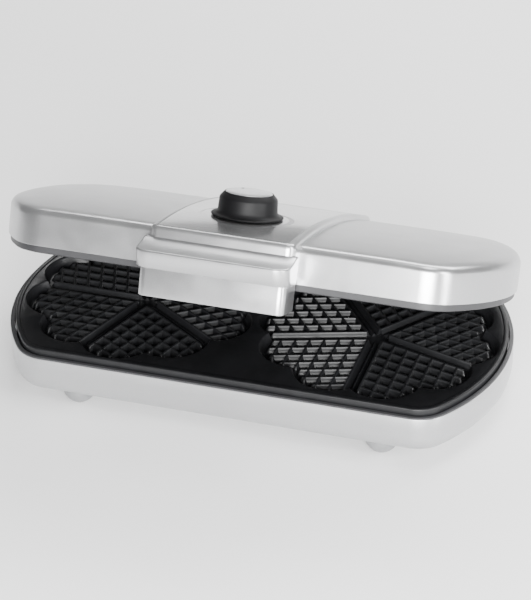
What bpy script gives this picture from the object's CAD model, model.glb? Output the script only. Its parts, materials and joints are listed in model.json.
import json
import math

import bmesh
import bpy
import numpy as np
from mathutils import Matrix, Vector


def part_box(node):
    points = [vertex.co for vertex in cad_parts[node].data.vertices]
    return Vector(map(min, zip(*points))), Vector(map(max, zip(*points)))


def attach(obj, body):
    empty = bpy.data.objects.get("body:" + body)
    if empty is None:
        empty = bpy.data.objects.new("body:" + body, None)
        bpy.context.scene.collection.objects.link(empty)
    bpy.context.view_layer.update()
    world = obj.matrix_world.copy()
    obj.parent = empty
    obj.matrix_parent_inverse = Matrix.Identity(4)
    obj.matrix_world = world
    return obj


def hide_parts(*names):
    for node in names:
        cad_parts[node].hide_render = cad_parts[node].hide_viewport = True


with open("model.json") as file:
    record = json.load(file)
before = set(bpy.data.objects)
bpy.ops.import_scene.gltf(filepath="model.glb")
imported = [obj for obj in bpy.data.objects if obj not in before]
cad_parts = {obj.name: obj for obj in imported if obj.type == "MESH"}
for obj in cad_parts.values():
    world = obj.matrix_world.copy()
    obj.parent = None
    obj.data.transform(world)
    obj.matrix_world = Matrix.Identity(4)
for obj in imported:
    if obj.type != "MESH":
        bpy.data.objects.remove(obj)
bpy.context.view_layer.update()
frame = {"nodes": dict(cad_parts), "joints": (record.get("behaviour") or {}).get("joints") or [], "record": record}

# Sizes below are in millimetres, in the frame of the base (z = 0 at the lower plate's rim) or of
# the lid (z = 0 at the lower edge of its shell, as when shut). MM turns them into metres.
MM = 0.001

# Angle in degrees above which an edge is drawn sharp, and distance at which points are joined
SHARP = 32
MERGE = 0.002
# Range that most of a noise texture's values lie in
NOISE_LOW, NOISE_HIGH = 0.3, 0.7

# ---- frames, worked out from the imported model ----

plate_low, plate_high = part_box("lower_plate")
BASE = Matrix.Translation((0, (plate_low.y + plate_high.y) / 2, plate_high.z))
JOINTS = {j["name"]: j for j in frame["joints"]}
HINGE = Vector(JOINTS["lid_hinge"]["pos_m"])
LID_OPEN = math.radians(-JOINTS["lid_hinge"]["range_deg"][0])
LID_GAP = 5.6
UPPER_FACE = -LID_GAP + 0.3
SHUT = BASE @ Matrix.Translation((0, 0, LID_GAP * MM))
LID = (Matrix.Translation(HINGE) @ Matrix.Rotation(-LID_OPEN, 4, "X") @ Matrix.Translation(-HINGE) @ SHUT)
UPPER = LID @ Matrix.Translation((0, 0, UPPER_FACE * MM)) @ Matrix.Scale(-1, 4, (0, 0, 1))
KNOB_AXIS = Vector(JOINTS["knob_turn"]["axis"])
KNOB = (Matrix.Translation(JOINTS["knob_turn"]["pos_m"])
        @ Matrix.Rotation(-math.atan2(KNOB_AXIS.y, KNOB_AXIS.z), 4, "X"))

# ---- driving sizes ----

PLATE_INSET = 4
HALF_L = (plate_high.x - plate_low.x) / 2 / MM + PLATE_INSET
HALF_W = (plate_high.y - plate_low.y) / 2 / MM + PLATE_INSET
CORNER_R = 26
END_R = 139
END_X = HALF_L - END_R
CORNER_Y = HALF_W - CORNER_R
CORNER_X = END_X + math.sqrt((END_R - CORNER_R) ** 2 - CORNER_Y ** 2)
CORNER_A = math.degrees(math.atan2(CORNER_Y, CORNER_X - END_X))
BASE_TOP = -5.5
BASE_BOTTOM = -31.2
BASE_ROUND_IN, BASE_ROUND_UP = 6.1, 10
LID_H, LID_CROWN_Y, LID_CROWN_R = 29.1, -12, 800
LID_END_DROP, LID_END_POWER = 6.9, 9.2
LID_EDGE_R, LID_EDGE_FALL, LID_EDGE_REACH = 3.4, 1.4, 8
WAFFLE_X = 83.5
CUSP_R = 75
LOBE_R = 85
RECESS = 8
WEB = -0.8
CROWN_TOP, CROWN_Y, CROWN_R, REAR_CROWN_R = 33.6, -22, 580, 810
HOUSING_W, HOUSING_FRONT, HOUSING_BACK = 49, -108, 92.5
FLARE_Y, FLARE_W = 20, 3
PANEL_W, PANEL_FRONT, PANEL_BACK, PANEL_CORNER = 44, -105.8, 60, 1.2
GRIP_W, GRIP_FRONT, GRIP_BACK, GRIP_CORNER = 51.4, -131, -104, 10
GRIP_LOW, GRIP_RISE, GRIP_POWER = 14.2, 5.8, 1.9
LEDGE_Z = 2.3
SKIRT_W, SKIRT_FRONT, SKIRT_BACK, SKIRT_DROP = 49, -121, -95, 17
SKIRT_WALL, SKIRT_CORNER = 2.4, 5
KNOB_Y = -50
SCALE_R = 31.2
PAD_R, PAD_H = 4, 0.8
# Points of the housing's outline: steps round a front corner, and points along a side and the back
ARC_STEPS, SIDE_POINTS, REAR_POINTS = 8, 36, 16


# ---- mesh tools ----

def arc(cx, cy, r, a0, a1, n):
    """Points along an arc, both ends included."""
    angles = np.radians(np.linspace(a0, a1, n + 1))
    return np.column_stack([cx + r * np.cos(angles), cy + r * np.sin(angles)])


def line(p, q, n):
    """Points strictly between two ends."""
    s = np.linspace(0, 1, n + 2)[1:-1, None]
    return np.array(p) * (1 - s) + np.array(q) * s


def with_z(points, z):
    """Plan points given a height, either one value or one each."""
    return np.column_stack([points, np.broadcast_to(z, len(points))])


def loft(rings, closed=False, cap_first=True, cap_last=True):
    """Vertices and faces of a skin through rings of equal length."""
    n = len(rings[0])
    faces = []
    for j in range(len(rings) - 1):
        for i in range(n):
            k = (i + 1) % n
            faces.append((j * n + i, j * n + k, (j + 1) * n + k, (j + 1) * n + i))
    if closed:
        last = (len(rings) - 1) * n
        for i in range(n):
            k = (i + 1) % n
            faces.append((last + i, last + k, k, i))
    else:
        if cap_first:
            faces.append(tuple(range(n - 1, -1, -1)))
        if cap_last:
            faces.append(tuple((len(rings) - 1) * n + i for i in range(n)))
    return np.vstack(rings), faces


def lathe(profile, n):
    """Skin of revolution about z through (radius, height) points; radius 0 closes it."""
    rings = []
    for r, z in profile:
        rings.append(with_z(arc(0, 0, max(r, 1e-4), 0, 360 - 360 / n, n - 1), z))
    return loft(rings)


def build(name, verts, faces, place, sharp=SHARP):
    """A mesh object whose vertices are in the row frame, smooth except at sharp edges."""
    mesh = bpy.data.meshes.new(name)
    mesh.from_pydata((np.asarray(verts, float) * MM).tolist(), [], faces)
    mesh.transform(place)
    bm = bmesh.new()
    bm.from_mesh(mesh)
    bmesh.ops.remove_doubles(bm, verts=bm.verts, dist=MERGE * MM)
    bmesh.ops.recalc_face_normals(bm, faces=bm.faces)
    bm.to_mesh(mesh)
    bm.free()
    obj = bpy.data.objects.new(name, mesh)
    bpy.context.scene.collection.objects.link(obj)
    shade(obj, sharp)
    return obj


def shade(obj, sharp):
    """Smooth shading, with edges above the given angle kept sharp."""
    obj.data.polygons.foreach_set("use_smooth", [True] * len(obj.data.polygons))
    obj.data.set_sharp_from_angle(angle=math.radians(sharp))
    obj.data.update()


def apply_modifiers(obj):
    """Replaces the mesh with what its modifiers make of it."""
    graph = bpy.context.evaluated_depsgraph_get()
    mesh = bpy.data.meshes.new_from_object(obj.evaluated_get(graph))
    obj.modifiers.clear()
    obj.data = mesh


def bevel(obj, width, angle, segments=3):
    """Rounds the edges that are sharper than the given angle."""
    mod = obj.modifiers.new("bevel", "BEVEL")
    mod.width = width * MM
    mod.segments = segments
    mod.limit_method = "ANGLE"
    mod.angle_limit = math.radians(angle)
    mod.harden_normals = False
    apply_modifiers(obj)


def cut(obj, cutter):
    """Cuts the second object out of the first and removes it."""
    mod = obj.modifiers.new("cut", "BOOLEAN")
    mod.operation = "DIFFERENCE"
    mod.solver = "EXACT"
    mod.object = cutter
    apply_modifiers(obj)
    bpy.data.objects.remove(cutter)


def finish_piece(obj, body, slot, material, *nodes):
    """Gives a piece its material, body, slot and the CAD nodes that it replaces."""
    obj.data.materials.clear()
    obj.data.materials.append(material)
    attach(obj, body)
    if nodes:
        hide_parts(*nodes)
    return obj


def box_mesh(boxes):
    """Vertices and faces of separate boxes, each given as (low corner, high corner)."""
    verts, faces = [], []
    for low, high in boxes:
        k = len(verts)
        for z in (low[2], high[2]):
            verts += [(low[0], low[1], z), (high[0], low[1], z), (high[0], high[1], z), (low[0], high[1], z)]
        faces += [(k, k + 3, k + 2, k + 1), (k + 4, k + 5, k + 6, k + 7)]
        for i in range(4):
            j = (i + 1) % 4
            faces.append((k + i, k + j, k + 4 + j, k + 4 + i))
    return verts, faces


# ---- plan outlines ----

def outline(t):
    """Plan outline of the body, moved inwards by t."""
    a, b, r = CORNER_A, CORNER_A * 19 / 20, CORNER_R - t
    x, y = CORNER_X, HALF_W - t
    return np.vstack([
        arc(END_X, 0, END_R - t, -b, b, 38),
        arc(CORNER_X, CORNER_Y, r, a, 90, 12),
        line((x, y), (-x, y), 24),
        arc(-CORNER_X, CORNER_Y, r, 90, 180 - a, 12),
        arc(-END_X, 0, END_R - t, 180 - b, 180 + b, 38),
        arc(-CORNER_X, -CORNER_Y, r, 180 + a, 270, 12),
        line((-x, -y), (x, -y), 24),
        arc(CORNER_X, -CORNER_Y, r, 270, 360 - a, 12)])


def section_ring(name, section, place):
    """A ring round the body whose section is a closed list of (inset, height) points."""
    verts, faces = loft([with_z(outline(t), z) for t, z in section], closed=True)
    return build(name, verts, faces, place)


# ---- materials ----

def new_material(name, color, roughness, metallic=0.0, coat=0.0, coat_rough=0.1, ior=1.5):
    """A material, its node tree and its principled shader, with constants on the shader's own sockets."""
    mat = bpy.data.materials.new(name)
    mat.use_nodes = True
    tree = mat.node_tree
    bsdf = tree.nodes["Principled BSDF"]
    bsdf.inputs["Base Color"].default_value = (*color, 1)
    bsdf.inputs["Roughness"].default_value = roughness
    bsdf.inputs["Metallic"].default_value = metallic
    bsdf.inputs["Coat Weight"].default_value = coat
    bsdf.inputs["Coat Roughness"].default_value = coat_rough
    bsdf.inputs["IOR"].default_value = ior
    return mat, tree, bsdf


def texture(tree, kind, scale, detail=3.0, stretch=None):
    """A noise or cell texture on object coordinates; scale is in features per metre."""
    coords = tree.nodes.new("ShaderNodeTexCoord")
    node = tree.nodes.new("ShaderNodeTexNoise" if kind == "noise" else "ShaderNodeTexVoronoi")
    node.inputs["Scale"].default_value = scale
    if kind == "noise":
        node.inputs["Detail"].default_value = detail
    source = coords.outputs["Object"]
    if stretch:
        mapping = tree.nodes.new("ShaderNodeMapping")
        mapping.inputs["Scale"].default_value = stretch
        tree.links.new(source, mapping.inputs["Vector"])
        source = mapping.outputs["Vector"]
    tree.links.new(source, node.inputs["Vector"])
    return node.outputs["Fac"] if kind == "noise" else node.outputs["Distance"]


def spread(tree, value, low, high, target):
    """Maps a texture value to a range and feeds it to a socket."""
    node = tree.nodes.new("ShaderNodeMapRange")
    node.inputs["From Min"].default_value = NOISE_LOW
    node.inputs["From Max"].default_value = NOISE_HIGH
    node.inputs["To Min"].default_value = low
    node.inputs["To Max"].default_value = high
    tree.links.new(value, node.inputs["Value"])
    tree.links.new(node.outputs["Result"], target)


def tint(tree, value, dark, light, target):
    """Mixes two colours by a texture value."""
    node = tree.nodes.new("ShaderNodeValToRGB")
    node.color_ramp.elements[0].position = NOISE_LOW
    node.color_ramp.elements[0].color = (*dark, 1)
    node.color_ramp.elements[1].position = NOISE_HIGH
    node.color_ramp.elements[1].color = (*light, 1)
    tree.links.new(value, node.inputs["Fac"])
    tree.links.new(node.outputs["Color"], target)


def bump(tree, bsdf, value, height):
    """Bump of a real height, in millimetres."""
    node = tree.nodes.new("ShaderNodeBump")
    node.inputs["Distance"].default_value = height * MM
    node.inputs["Strength"].default_value = 1.0
    tree.links.new(value, node.inputs["Height"])
    tree.links.new(node.outputs["Normal"], bsdf.inputs["Normal"])


def textured(name, color, roughness, metallic=0.0, coat=0.0, coat_rough=0.1, vary=0.06, rough_vary=0.05,
             patch=40, grain=1500, grain_height=0.01, kind="noise", stretch=None, ior=1.5):
    """A solid material with cloudy colour, uneven roughness and a fine grain."""
    mat, tree, bsdf = new_material(name, color, roughness, metallic, coat, coat_rough, ior)
    color = np.array(color)
    clouds = texture(tree, "noise", patch, 4)
    tint(tree, clouds, np.clip(color * (1 - vary), 0, 1), np.clip(color * (1 + vary), 0, 1),
         bsdf.inputs["Base Color"])
    smears = texture(tree, "noise", patch * 2.3, 5)
    spread(tree, smears, roughness - rough_vary, roughness + rough_vary, bsdf.inputs["Roughness"])
    bump(tree, bsdf, texture(tree, kind, grain, 2, stretch), grain_height)
    return mat


def silver_lacquer():
    """Metallic lacquer: aluminium flakes under a thin clear coat."""
    mat, tree, bsdf = new_material("silver_lacquer", (0.48, 0.483, 0.488), 0.32, 0.95, 0.1, 0.2)
    flakes = texture(tree, "cells", 2600)
    tint(tree, flakes, (0.45, 0.453, 0.46), (0.52, 0.523, 0.53), bsdf.inputs["Base Color"])
    spread(tree, texture(tree, "noise", 60, 4), 0.29, 0.35, bsdf.inputs["Roughness"])
    bump(tree, bsdf, texture(tree, "noise", 900, 2), 0.004)
    return mat


def spun_metal(name, color, roughness):
    """Metal spun on a lathe: fine rings about the knob's axis."""
    mat, tree, bsdf = new_material(name, color, roughness, 1.0)
    coords = tree.nodes.new("ShaderNodeTexCoord")
    mapping = tree.nodes.new("ShaderNodeMapping")
    rings = tree.nodes.new("ShaderNodeTexWave")
    turn = KNOB.inverted().to_euler()
    shift = KNOB.inverted().to_translation()
    mapping.inputs["Rotation"].default_value = turn
    mapping.inputs["Location"].default_value = shift
    rings.wave_type = "RINGS"
    rings.rings_direction = "Z"
    rings.inputs["Scale"].default_value = 900
    rings.inputs["Distortion"].default_value = 0.6
    tree.links.new(coords.outputs["Object"], mapping.inputs["Vector"])
    tree.links.new(mapping.outputs["Vector"], rings.inputs["Vector"])
    spread(tree, rings.outputs["Fac"], roughness - 0.06, roughness + 0.08, bsdf.inputs["Roughness"])
    bump(tree, bsdf, rings.outputs["Fac"], 0.003)
    return mat


SILVER = silver_lacquer()
TRIM = textured("trim_plastic", (0.022, 0.022, 0.024), 0.5, grain=1400, grain_height=0.02)
COATING = textured("nonstick_coating", (0.007, 0.0072, 0.008), 0.4, coat=0.05, coat_rough=0.3,
                   vary=0.2, rough_vary=0.06, patch=55, grain=1300, grain_height=0.03, ior=1.35)
KNOB_BLACK = textured("knob_plastic", (0.003, 0.003, 0.0035), 0.52, grain=1900, grain_height=0.02, ior=1.3)
CAP = spun_metal("spun_cap", (0.78, 0.785, 0.79), 0.27)
PANEL = textured("panel_lacquer", (0.46, 0.463, 0.468), 0.22, 0.9, coat=0.5, coat_rough=0.03, vary=0.03,
                 rough_vary=0.02, patch=30, grain=2400, grain_height=0.002)
PRINT = textured("print_ink", (0.11, 0.11, 0.115), 0.4, coat=0.6, coat_rough=0.05, grain=1500,
                 grain_height=0.002)
FOOT = textured("foot_plastic", (0.26, 0.263, 0.268), 0.38, 0.55, grain=1600, grain_height=0.01)
RUBBER = textured("pad_rubber", (0.02, 0.02, 0.02), 0.75, grain=900, grain_height=0.05)
STEEL = textured("zinc_steel", (0.55, 0.56, 0.57), 0.34, 1.0, vary=0.12, rough_vary=0.09, patch=120,
                 grain=1200, grain_height=0.008)
PIN = textured("ground_steel", (0.68, 0.68, 0.69), 0.2, 1.0, grain=2500, grain_height=0.003,
               stretch=(30, 1, 1))
TUBE = textured("heater_sheath", (0.2, 0.19, 0.17), 0.5, 0.8, vary=0.25, patch=70)
SHEET = textured("reflector_sheet", (0.75, 0.75, 0.75), 0.25, 1.0, grain=700, grain_height=0.01,
                 stretch=(1, 12, 1))
SLEEVE = textured("glass_sleeve", (0.62, 0.58, 0.45), 0.8, grain=1800, grain_height=0.15, kind="cells")
CERAMIC = textured("ceramic", (0.78, 0.74, 0.65), 0.2, coat=0.7, vary=0.04, grain=500, grain_height=0.01)
GLAND = textured("gland_plastic", (0.02, 0.02, 0.021), 0.5, grain=1300, grain_height=0.03)
PHENOLIC = textured("phenolic", (0.13, 0.07, 0.035), 0.42, vary=0.2, grain=900, grain_height=0.03)
COPPER = textured("copper", (0.72, 0.42, 0.28), 0.3, 1.0, vary=0.15, patch=150)

SLOT_MATERIALS = {
    "silver_shell": SILVER, "dark_trim": TRIM, "nonstick": COATING, "heater_tube": TUBE,
    "zinc_steel": STEEL, "pin_steel": PIN, "reflector_sheet": SHEET, "wire_sleeve": SLEEVE,
    "ceramic": CERAMIC, "gland_plastic": GLAND, "foot_plastic": FOOT, "pad_rubber": RUBBER,
    "panel_gloss": PANEL, "phenolic": PHENOLIC, "copper": COPPER, "knob_black": KNOB_BLACK,
    "knob_silver": CAP}


# ---- base and lid shells, rims ----

def base_shell():
    """Base housing: a thin wall with a rounded lower edge and vent slots in its floor."""
    wall = [(2, -12), (2, BASE_TOP - 0.4), (1.7, BASE_TOP), (0.5, BASE_TOP), (0.15, BASE_TOP - 0.15),
            (0, BASE_TOP - 0.5), (0, -14), (0, BASE_BOTTOM + BASE_ROUND_UP)]
    turn = np.radians(np.linspace(0, 90, 11)[1:])
    wall += [(BASE_ROUND_IN * (1 - math.cos(a)), BASE_BOTTOM + BASE_ROUND_UP - BASE_ROUND_UP * math.sin(a))
             for a in turn]
    verts, faces = loft([with_z(outline(t), z) for t, z in wall])
    shell = build("base_housing", verts, faces, BASE)
    slots = [((x - 1.5, -15, BASE_BOTTOM - 2), (x + 1.5, 15, BASE_BOTTOM + 3)) for x in range(-60, 61, 12)]
    cut(shell, build("slot_cutter", *box_mesh(slots), BASE))
    shade(shell, SHARP)
    return finish_piece(shell, "base", "silver_shell", SILVER, "base_shell")


def lid_top(ring):
    """Heights of the lid's crowned top at plan points; it also drops towards the two ends."""
    end = LID_END_DROP * (np.abs(ring[:, 0]) / HALF_L) ** LID_END_POWER
    return LID_H - (ring[:, 1] - LID_CROWN_Y) ** 2 / (2 * LID_CROWN_R) - end


def edge_drop(t):
    """How far the lid's top lies below its crown at a distance t inside the outline."""
    edge = max(0, LID_EDGE_R - t)
    round_off = LID_EDGE_R - math.sqrt(LID_EDGE_R ** 2 - edge ** 2)
    return round_off + LID_EDGE_FALL * max(0, 1 - t / LID_EDGE_REACH) ** 2


def lid_shell():
    """Lid housing: a rounded edge and a crowned top."""
    rings = [with_z(outline(t), z) for t, z in
             [(1.6, 9), (1.6, 0.3), (1.3, 0), (0.35, 0), (0, 0.35), (0, 6), (0, 13)]]
    turn = np.radians(np.linspace(0, 90, 9))
    insets = [LID_EDGE_R * (1 - math.cos(a)) for a in turn] + [4.5, 6.5, 9, 12, 16, 20, 24]
    for t in insets:
        ring = outline(t)
        rings.append(with_z(ring, lid_top(ring) - edge_drop(t)))
    inner = outline(insets[-1])
    for s in np.linspace(1, 0, 17)[1:]:
        ring = inner * (1, s)
        rings.append(with_z(ring, lid_top(ring)))
    verts, faces = loft(rings, cap_last=False)
    return finish_piece(build("lid_housing", verts, faces, LID), "lid", "silver_shell", SILVER, "lid_shell")


def rims():
    """The dark lips round the base and the lid."""
    section = [(3.2, -10.5), (3.2, -4.7), (2.9, -4.4), (0.9, -4.4), (0.45, -4.65), (0.3, -5.1), (0.3, -5.45),
               (2.1, -5.5), (2.1, -10.5)]
    finish_piece(section_ring("base_rim", section, BASE), "base", "dark_trim", TRIM, "base_trim")
    section = [(3.5, 4.5), (3.5, -4.2), (3.1, -4.6), (2.2, -4.6), (1.75, -4.2), (1.65, -3.6), (1.65, 4.5)]
    finish_piece(section_ring("lid_rim", section, LID), "lid", "dark_trim", TRIM, "lid_trim")


# ---- waffle plates ----

# Turn in degrees from one heart to the next, and from a lobe's middle to its cusp
HEARTS, HEART_TURN, HALF_LOBE = 5, 72, 18
LOBE_SAG = LOBE_R - CUSP_R * math.cos(math.radians(HALF_LOBE))
LOBE_ARC = ((CUSP_R * math.sin(math.radians(HALF_LOBE))) ** 2 + LOBE_SAG ** 2) / (2 * LOBE_SAG)
LOBE_CENTRE = LOBE_R - LOBE_ARC
PITCH = 9.4
BAND = 5
HUB_R = 5
BAR_MARGIN, DIVIDER_MARGIN = 5, 6
FADE, FADED, SHORTEST = 3, 0.08, 5
BAR = [(3.2, -0.1), (2.2, 0.45), (1.5, 1.3), (1.05, 2.7), (0.82, 4.0), (0.65, 4.35), (0.35, 4.45)]
DIVIDER = [(2.0, -0.1), (1.3, 0.3), (0.9, 0.9), (0.6, 1.7), (0.3, 1.95)]


def flower_radius(angle, lobe):
    """Distance from the waffle's centre to its lobed edge; lobe is the angle of one lobe's middle."""
    a = np.radians((angle - lobe + HALF_LOBE) % (2 * HALF_LOBE) - HALF_LOBE)
    return LOBE_CENTRE * np.cos(a) + np.sqrt(LOBE_ARC ** 2 - (LOBE_CENTRE * np.sin(a)) ** 2)


def smooth(x, low, high):
    """Eased step from 0 at low to 1 at high."""
    s = np.clip((x - low) / (high - low), 0, 1)
    return s * s * (3 - 2 * s)


def unit(angle):
    """Unit vector in the plan at an angle in degrees."""
    return np.array([math.cos(math.radians(angle)), math.sin(math.radians(angle))])


def bar_mesh(points, scale, profile):
    """A ridge along plan points on the recess floor, its height scaled at each point."""
    along = (points[-1] - points[0]) / np.linalg.norm(points[-1] - points[0])
    side = np.array([-along[1], along[0]])
    section = profile + [(-w, h) for w, h in reversed(profile)]
    ends = (0, len(points) - 1)
    keep = [i for i in range(len(points)) if i in ends or min(scale[i - 1:i + 2]) < 1]
    rings = []
    for i in keep:
        rings.append(np.array([(*(points[i] + side * w), -RECESS + (h * scale[i] if h > 0 else h))
                               for w, h in section]))
    return loft(rings)


def straight_bars(start, along, lobe, inside, margin, profile):
    """Ridges on one straight line, one for each stretch of it that lies inside the recess."""
    steps = np.arange(0, LOBE_R, 1.0)
    points = start + steps[:, None] * along
    r = np.hypot(points[:, 0], points[:, 1])
    angle = np.degrees(np.arctan2(points[:, 1], points[:, 0]))
    room = flower_radius(angle, lobe) - r
    valid = (room > margin) & inside(points)
    found, run = [], []
    for i in range(len(steps) + 1):
        if i < len(steps) and valid[i]:
            run.append(i)
        else:
            if len(run) > SHORTEST:
                scale = FADED + (1 - FADED) * smooth(room[run], margin, margin + FADE)
                found.append(bar_mesh(points[run], list(np.where(scale > 0.99, 1, scale)), profile))
            run = []
    return found


def lattice(cx, lobe, band):
    """Crossed ridges of the five hearts of one waffle, and the low bars that part the hearts."""
    parts = []
    for k in range(HEARTS):
        first, second = band + HEART_TURN * k, band + HEART_TURN * (k + 1)
        parts += straight_bars(np.zeros(2), unit(first), lobe,
                               lambda p: np.hypot(p[:, 0], p[:, 1]) > HUB_R, DIVIDER_MARGIN, DIVIDER)
        for line_angle, other, turn in ((first, second, 90), (second, first, -90)):
            across, other_in = unit(line_angle + turn), unit(other - turn)
            for d in np.arange(BAND, LOBE_R, PITCH):
                parts += straight_bars(across * d, unit(line_angle), lobe,
                                       lambda p: p @ other_in > BAND - 0.2, BAR_MARGIN, BAR)
    return [(verts + (cx, 0, 0), faces) for verts, faces in parts]


def recess_mesh(cx, lobe):
    """Polar mesh of one recess, from its edge in the plate to its centre."""
    angle = np.arange(360.0)
    edge = flower_radius(angle, lobe)
    spokes = np.column_stack([np.cos(np.radians(angle)), np.sin(np.radians(angle))])
    wall = [(0, WEB), (0.25, -0.9), (0.6, -1.25), (1.0, -2.1), (1.5, -3.6), (2.0, -5.2), (2.6, -6.6),
            (3.4, -7.5), (4.4, -7.92), (5.2, -RECESS)]
    rings = [with_z(spokes * (edge - t)[:, None] + (cx, 0), z) for t, z in wall]
    for f in (0.6, 0.25, 0.012):
        rings.append(with_z(spokes * ((edge - wall[-1][0]) * f)[:, None] + (cx, 0), -RECESS))
    verts, faces = loft(rings, cap_first=False)
    return verts, faces, rings[0]


def waffle_plate(name, place, body, node):
    """One plate: rim, web, and two recesses with their ridges."""
    rim = [(PLATE_INSET, -9), (PLATE_INSET, -0.9), (4.15, -0.4), (4.5, -0.1), (5, 0), (6.4, 0), (6.9, -0.1),
           (7.15, -0.35), (7.3, WEB)]
    verts, faces = loft([with_z(outline(t), z) for t, z in rim], cap_last=False)
    parts = [(verts, faces)]
    loops = [with_z(outline(rim[-1][0]), WEB)]
    for cx, lobe, band in ((-WAFFLE_X, 18, 36), (WAFFLE_X, 0, 54)):
        verts, faces, edge = recess_mesh(cx, lobe)
        parts.append((verts, faces))
        parts += lattice(cx, lobe, band)
        loops.append(edge)
    parts.append(web_mesh(loops))
    verts = np.vstack([p[0] for p in parts])
    faces, start = [], 0
    for part_verts, part_faces in parts:
        faces += [tuple(i + start for i in f) for f in part_faces]
        start += len(part_verts)
    plate = build(name, verts, faces, place, sharp=50)
    return finish_piece(plate, body, "nonstick", COATING, node)


def web_mesh(loops):
    """Flat sheet between an outer loop and the holes inside it."""
    bm = bmesh.new()
    edges = []
    for loop in loops:
        ring = [bm.verts.new(p) for p in loop]
        edges += [bm.edges.new((ring[i], ring[(i + 1) % len(ring)])) for i in range(len(ring))]
    bmesh.ops.triangle_fill(bm, edges=edges, use_beauty=True, use_dissolve=False)
    bm.verts.index_update()
    verts = np.array([v.co[:] for v in bm.verts])
    faces = [tuple(v.index for v in f.verts) for f in bm.faces]
    bm.free()
    return verts, faces


# ---- centre housing, panel, print ----

def crown(y):
    """Height of the housing's crowned top at a distance from front to back."""
    radius = np.where(np.asarray(y) < CROWN_Y, CROWN_R, REAR_CROWN_R)
    return CROWN_TOP - (y - CROWN_Y) ** 2 / (2 * radius)


def housing_w(y):
    """Half width of the housing, which flares towards the back."""
    return HOUSING_W + FLARE_W * np.maximum(0, (y - FLARE_Y) / (HOUSING_BACK - FLARE_Y)) ** 2


def frame_loop(half_w, front, back, corner, width=None):
    """Loop with two rounded front corners, straight or flared sides and a straight back."""
    width = width or (lambda y: np.full_like(y, half_w))
    split = -HALF_W
    ahead = 5
    y = np.concatenate([np.linspace(front + corner, split - 0.3, ahead),
                        np.linspace(split + 0.1, back, SIDE_POINTS - ahead)])
    right = np.column_stack([width(y), y])
    back_row = line(right[-1], right[-1] * (-1, 1), REAR_POINTS)
    left = right[::-1] * (-1, 1)
    return np.vstack([arc(half_w - corner, front + corner, corner, 270, 360, ARC_STEPS)[:-1],
                      right, back_row, left,
                      arc(-half_w + corner, front + corner, corner, 180, 270, ARC_STEPS)[1:]])


def housing_loop(t, front=None):
    """Plan of the housing, moved inwards by t, or by front at its front edge."""
    front = t if front is None else front
    return frame_loop(HOUSING_W - t, HOUSING_FRONT + front, HOUSING_BACK - t * 0.4, 6 - t * 0.9,
                      lambda y: housing_w(y) - t)


def cover(rings, arc_points=ARC_STEPS, side=SIDE_POINTS):
    """Faces straight across the last ring, from its right side to its left; one closes its back."""
    n = len(rings[-1])
    start = (len(rings) - 1) * n
    last = arc_points + side - 1
    faces = [(start + i, start + i + 1, start + n - 2 - i, start + n - 1 - i) for i in range(last - 1)]
    return faces + [tuple(start + j for j in range(last - 1, n - last + 1))]


def crowned(loop, drop=0.0):
    """A plan loop laid on the housing's crown, or a drop below it."""
    return with_z(loop, crown(loop[:, 1]) - drop)


def centre_housing():
    """Raised housing over the lid, with a seat for the panel."""
    foot = housing_loop(0)
    low = np.where(foot[:, 1] < -HALF_W, LEDGE_Z, 19.0)
    inner = housing_loop(2)
    rings = [with_z(inner, np.minimum(low + 14, crown(inner[:, 1]) - 2.6)), with_z(inner, low + 0.3),
             with_z(housing_loop(1.6), low), with_z(housing_loop(0.4), low), with_z(foot, low + 0.4)]
    radius, front_radius = 3.4, 1.7
    for a in np.radians(np.linspace(0, 90, 9)):
        rise = 1 - math.cos(a)
        rings.append(crowned(housing_loop(radius * rise, front_radius * rise), radius * (1 - math.sin(a))))
    edge = housing_loop(radius, front_radius)
    seat = frame_loop(PANEL_W + 0.45, PANEL_FRONT - 0.3, PANEL_BACK + 0.45, PANEL_CORNER)
    for s in (0.25, 0.5, 0.75):
        rings.append(crowned(edge * (1 - s) + seat * s))
    rings += [crowned(seat), crowned(seat, 0.25), crowned(seat, 1.2)]
    verts, faces = loft(rings, cap_first=False, cap_last=False)
    housing = build("housing", verts, faces + cover(rings), LID)
    return finish_piece(housing, "lid", "silver_shell", SILVER, "centre_housing")


def control_panel():
    """The inlaid panel."""
    def loop(t):
        return frame_loop(PANEL_W - t, PANEL_FRONT + t, PANEL_BACK - t, PANEL_CORNER)
    rings = [crowned(loop(0), 1.0), crowned(loop(0), 0.2), crowned(loop(0.1), 0.06), crowned(loop(0.3))]
    verts, faces = loft(rings, cap_first=False, cap_last=False)
    panel = build("panel", verts, faces + cover(rings), LID)
    return finish_piece(panel, "lid", "panel_gloss", PANEL, "control_panel")


def panel_seam():
    """Dark seal in the narrow gap round the panel."""
    def loop(t):
        return frame_loop(PANEL_W + t, PANEL_FRONT - t * 0.6, PANEL_BACK + t, PANEL_CORNER)
    section = [(0.44, 0.2), (0.44, 1.1), (0.02, 1.1), (0.02, 0.2)]
    verts, faces = loft([crowned(loop(t), drop) for t, drop in section], closed=True)
    return finish_piece(build("panel_seal", verts, faces, LID), "lid", "dark_trim", TRIM)


def browning_scale():
    """Printed scale round the knob: dashes that grow into a broad band."""
    verts, faces = [], []
    start, span, pitch, dash, dashes = 200, 240, 7, 3.6, 5

    def stripe(a0, a1, n):
        k = len(verts)
        for a in np.linspace(a0, a1, n + 1):
            grow = (start - a) / span
            for r in (SCALE_R - 0.4 - 3.4 * grow, SCALE_R + 0.5 * grow):
                x, y = r * math.cos(math.radians(a)), KNOB_Y + r * math.sin(math.radians(a))
                verts.append((x, y, crown(y) + 0.03))
        faces.extend((k + 2 * i, k + 2 * i + 1, k + 2 * i + 3, k + 2 * i + 2) for i in range(n))

    for i in range(dashes):
        stripe(start - i * pitch, start - i * pitch - dash, 3)
    stripe(start - dashes * pitch, -38, 80)
    scale = build("browning_scale", verts, faces, LID)
    return finish_piece(scale, "lid", "panel_gloss", PRINT)


# ---- handle ----

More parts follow.
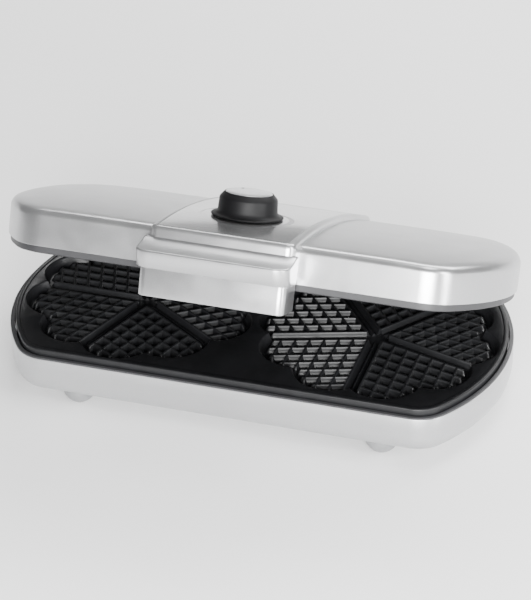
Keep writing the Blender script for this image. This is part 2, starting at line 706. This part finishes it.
def grip_top(y):
    """Height of the grip's top, which rises towards the housing."""
    s = np.clip((y - GRIP_FRONT) / (HOUSING_FRONT - GRIP_FRONT), 0, 1)
    return GRIP_LOW + GRIP_RISE * s ** GRIP_POWER


def grip_loop(t, front=0.0):
    """Plan of the grip, moved inwards by t, with its front face a further distance back."""
    corner, w, f, b = GRIP_CORNER - t, GRIP_W - t, GRIP_FRONT + t + front, GRIP_BACK
    return np.vstack([
        arc(w - corner, f + corner, corner, 270, 360, 10), line((w, f + corner), (w, b), 12), [(w, b)],
        line((w, b), (-w, b), 12), [(-w, b)], line((-w, b), (-w, f + corner), 12),
        arc(-w + corner, f + corner, corner, 180, 270, 10)])


def handle_grip():
    """The grip ledge in front of the housing."""
    lean = 4.0
    foot = ((2, LEDGE_Z), (0.5, LEDGE_Z), (0, LEDGE_Z + 0.5))
    rings = [with_z(grip_loop(t, lean), z) for t, z in foot]
    radius = 1.2
    for a in np.radians(np.linspace(0, 90, 7)):
        ring = grip_loop(radius * (1 - math.cos(a)))
        rings.append(with_z(ring, grip_top(ring[:, 1]) - radius * (1 - math.sin(a))))
    verts, faces = loft(rings, cap_last=False)
    faces += cover(rings, arc_points=11, side=13)
    return finish_piece(build("grip", verts, faces, LID), "lid", "silver_shell", SILVER, "handle_grip")


def skirt_loop(t):
    """U-shaped plan of the skirt, moved inwards by t."""
    w, f, r = SKIRT_W - t, SKIRT_FRONT + t, max(SKIRT_CORNER - t, 1)
    return np.vstack([[(-w, SKIRT_BACK)], arc(-w + r, f + r, r, 180, 270, 8),
                      arc(w - r, f + r, r, 270, 360, 8), [(w, SKIRT_BACK)]])


def handle_skirt():
    """The thin skirt that hangs under the grip."""
    plan = np.vstack([skirt_loop(0), skirt_loop(SKIRT_WALL)[::-1]])
    verts, faces = loft([with_z(plan, -SKIRT_DROP), with_z(plan, 2.1)])
    skirt = build("skirt", verts, faces, LID)
    bevel(skirt, 0.7, angle=50)
    shade(skirt, SHARP)
    return finish_piece(skirt, "lid", "silver_shell", SILVER, "handle_skirt")


# ---- knob and feet ----

def knob():
    """Knob body, silver cap and mark."""
    bore, mark_x, mark_y = 3.1, -7.6, 10.9
    profile = [(10, 4.4), (10, 1), (10.4, 0.75), (23.8, 0.75), (24.15, 0.9), (24.3, 1.25), (24.15, 1.65),
               (23.7, 1.9), (22.6, 2.15), (21.3, 2.6), (20.5, 3.4), (20.05, 4.4), (19.9, 5.4), (19.5, 12.3),
               (19.4, 12.9), (19.0, 13.6), (16.7, 16.1), (16.4, 16.4), (16.05, 16.6), (15.8, 16.55),
               (15.7, 16.2), (15.7, 15.6)]
    body = build("knob_body", *lathe([(bore, 4.4)] + profile + [(bore, 15.6)], 128), KNOB)
    finish_piece(body, "knob", "knob_black", KNOB_BLACK, "knob")
    face = [(0, 15.5), (15.5, 15.5), (15.6, 16.5), (15.45, 16.72), (15.15, 16.8), (8, 16.92), (0, 16.97)]
    cap = build("cap_disc", *lathe(face, 128), KNOB)
    finish_piece(cap, "knob", "knob_silver", CAP, "knob_cap")
    dot = build("cap_mark", *lathe([(0, 16.5), (0.95, 16.5), (0.95, 16.93), (0.8, 16.98), (0, 16.99)], 32),
                KNOB @ Matrix.Translation((mark_x * MM, mark_y * MM, 0)))
    finish_piece(dot, "knob", "knob_black", KNOB_BLACK, "knob_marker")


def feet():
    """Domed feet, each sized from its own CAD node."""
    for node in ("foot_front_left", "foot_front_right", "foot_rear_left", "foot_rear_right"):
        low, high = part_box(node)
        centre = Matrix.Translation(((low.x + high.x) / 2, (low.y + high.y) / 2, 0))
        radius, top, flat = (high.x - low.x) / 2 / MM, high.z / MM, low.z / MM
        end = -math.degrees(math.asin((radius - flat) / radius))
        profile = [(0, top), (radius - 0.4, top), (radius - 0.05, top - 0.4)]
        profile += [tuple(p) for p in arc(0, radius, radius, 0, end, 16)] + [(0, flat)]
        foot = build(node + "_dome", *lathe(profile, 72), centre)
        finish_piece(foot, "base", "foot_plastic", FOOT, node)


def foot_pads():
    """The four rubber pads under the feet, as one piece."""
    low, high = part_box("foot_pads")
    verts, faces = [], []
    for sx in (low.x / MM + PAD_R, high.x / MM - PAD_R):
        for sy in (low.y / MM + PAD_R, high.y / MM - PAD_R):
            v, f = lathe([(0, PAD_H), (3.95, PAD_H), (3.9, 0.3), (3.6, 0), (0, 0)], 48)
            faces += [tuple(i + len(verts) for i in face) for face in f]
            verts += (v + (sx, sy, 0)).tolist()
    pads = build("rubber_pads", verts, faces, Matrix.Identity(4))
    finish_piece(pads, "base", "pad_rubber", RUBBER, "foot_pads")


def refined(node, body, slot, width):
    """A copy of a CAD node with its edges rounded."""
    source = frame["nodes"][node]
    obj = bpy.data.objects.new(node + "_fine", source.data.copy())
    bpy.context.scene.collection.objects.link(obj)
    bm = bmesh.new()
    bm.from_mesh(obj.data)
    bmesh.ops.remove_doubles(bm, verts=bm.verts, dist=MERGE * MM)
    bmesh.ops.dissolve_limit(bm, angle_limit=math.radians(1), verts=bm.verts, edges=bm.edges)
    bm.to_mesh(obj.data)
    bm.free()
    bevel(obj, width, angle=32, segments=2)
    shade(obj, 30)
    return finish_piece(obj, body, slot, SLOT_MATERIALS[slot], node)


def carried_over():
    """Every CAD node that still shows gets its slot's material."""
    slots = {s["node"]: s["material_slot"] for s in frame["record"]["subparts"]}
    for name, obj in frame["nodes"].items():
        obj.data.materials.clear()
        obj.data.materials.append(SLOT_MATERIALS[slots[name]])


# ---- stage, light and camera ----

def stage():
    """Plain pale floor."""
    mat, tree, bsdf = new_material("floor_paint", (0.92, 0.92, 0.92), 0.6)
    spread(tree, texture(tree, "noise", 3, 2), 0.55, 0.65, bsdf.inputs["Roughness"])
    verts, faces = box_mesh([((-4000, -4000, -20), (4000, 4000, -0.05))])
    floor = build("floor", verts, faces, Matrix.Identity(4))
    floor.data.materials.append(mat)


def area_light(name, place, aim, size, power):
    """A soft rectangular lamp; places are in metres."""
    data = bpy.data.lights.new(name, "AREA")
    data.shape = "RECTANGLE"
    data.size, data.size_y = size
    data.energy = power
    light = bpy.data.objects.new(name, data)
    light.location = place
    light.rotation_euler = (Vector(aim) - Vector(place)).to_track_quat("-Z", "Y").to_euler()
    bpy.context.scene.collection.objects.link(light)


def lights():
    """Even studio light: a pale world and four soft boxes."""
    world = bpy.data.worlds.new("studio")
    world.use_nodes = True
    world.node_tree.nodes["Background"].inputs["Color"].default_value = (1, 1, 1, 1)
    world.node_tree.nodes["Background"].inputs["Strength"].default_value = 0.34
    bpy.context.scene.world = world
    area_light("front_box", (0.5, -1.5, 0.55), (0.05, 0, 0.05), (0.9, 0.6), 85)
    area_light("top_box", (0.3, 0.1, 1.5), (0.1, 0, 0), (0.6, 0.6), 8)
    area_light("right_strip", (1.3, -0.5, 0.5), (0, 0, 0.08), (0.3, 1.0), 26)
    area_light("backdrop_box", (0.4, 1.7, 1.5), (0.4, 1.6, 0), (2.4, 1.2), 95)


def camera():
    """The photograph's view: a long lens, a little to the right and above."""
    azimuth, elevation, distance = math.radians(16.66), math.radians(30.65), 1.6381
    focal_px, long_side_px = 2371, 600
    target = BASE @ Vector((3.4 * MM, 0, 10.73 * MM))
    back = Vector((math.sin(azimuth) * math.cos(elevation), -math.cos(azimuth) * math.cos(elevation),
                   math.sin(elevation)))
    data = bpy.data.cameras.new("camera")
    data.sensor_width = 36
    data.lens = focal_px / long_side_px * data.sensor_width
    data.clip_end = 30
    cam = bpy.data.objects.new("camera", data)
    cam.location = target + back * distance
    cam.rotation_euler = (-back).to_track_quat("-Z", "Y").to_euler()
    bpy.context.scene.collection.objects.link(cam)
    bpy.context.scene.camera = cam


carried_over()
base_shell()
lid_shell()
rims()
waffle_plate("lower_waffle_plate", BASE, "base", "lower_plate")
waffle_plate("upper_waffle_plate", UPPER, "lid", "upper_plate")
centre_housing()
control_panel()
panel_seam()
browning_scale()
handle_grip()
handle_skirt()
knob()
feet()
foot_pads()
for side in ("left", "right"):
    refined("hinge_bracket_" + side, "base", "zinc_steel", 0.35)
    refined("hinge_arm_" + side, "lid", "zinc_steel", 0.35)
refined("cord_gland", "base", "gland_plastic", 0.5)
stage()
lights()
camera()
